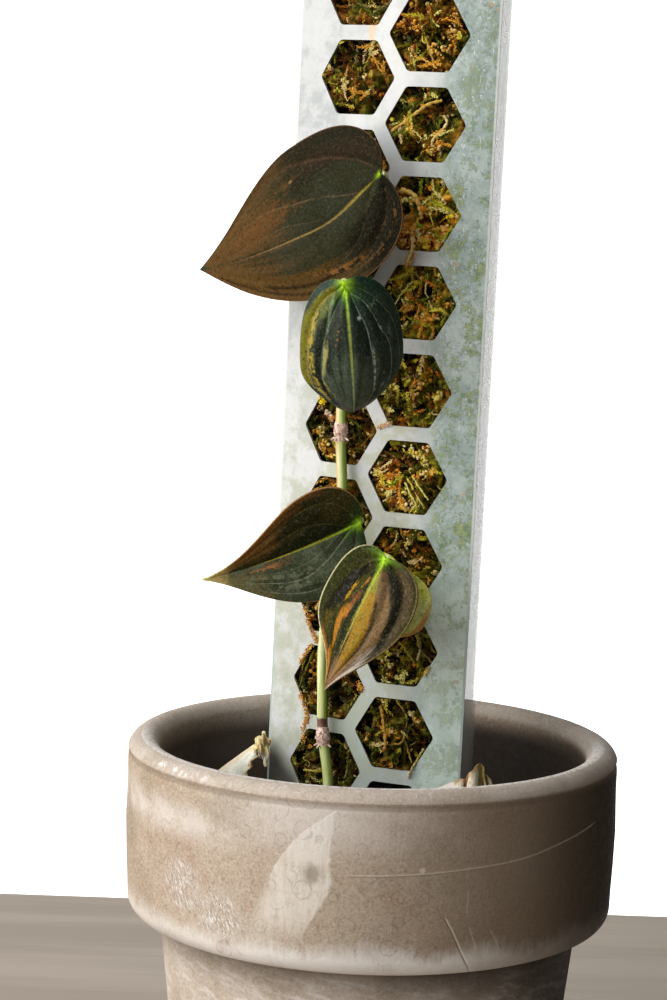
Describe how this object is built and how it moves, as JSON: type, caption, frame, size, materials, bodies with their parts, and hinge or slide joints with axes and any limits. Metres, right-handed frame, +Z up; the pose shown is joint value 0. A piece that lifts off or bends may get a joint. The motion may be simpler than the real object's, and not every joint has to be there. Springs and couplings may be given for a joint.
{
  "type": "potted climbing plant on a moss pole",
  "caption": "Velvety variegated vine climbing a clear moss pole with hexagonal windows, planted in a thick-lipped taupe clay pot.",
  "frame": {"origin": "centre of the pot's flat base, on the surface it stands on", "axes": "+Z up along the pot and the pole, -Y to the front that the picture shows, +X to the viewer's right"},
  "size_m": [0.1382, 0.1382, 0.3626],
  "materials": {
    "clay": "matte unglazed clay, taupe, with pale mineral bloom",
    "soil": "loose dark potting mix",
    "clear_plastic": "clouded clear sheet with green algae specks",
    "moss": "packed sphagnum strands, olive, rust and cream",
    "stem": "smooth green stem with purple-brown nodes",
    "leaf_bronze": "velvety bronze-brown blade with a copper midrib",
    "leaf_blue_green": "velvety blue-green blade with a pale sector",
    "leaf_dark_green": "velvety dark green blade with an orange-brown edge",
    "leaf_variegated": "velvety blade streaked mauve, ochre, orange and dark green",
    "leaf_lime": "soft lime green blade",
    "dry_sheath": "dry papery tan and cream sheath"
  },
  "bodies": {
    "root": {"pot": "clay", "soil": "soil", "moss_pole_sheet": "clear_plastic", "moss": "moss", "vine_stem": "stem", "leaf_top": "leaf_bronze", "leaf_hanging": "leaf_blue_green", "leaf_folded": "leaf_dark_green", "leaf_variegated": "leaf_variegated", "leaf_small_green": "leaf_lime", "dry_sheath_left": "dry_sheath", "dry_sheath_right": "dry_sheath"}
  },
  "joints": []
}
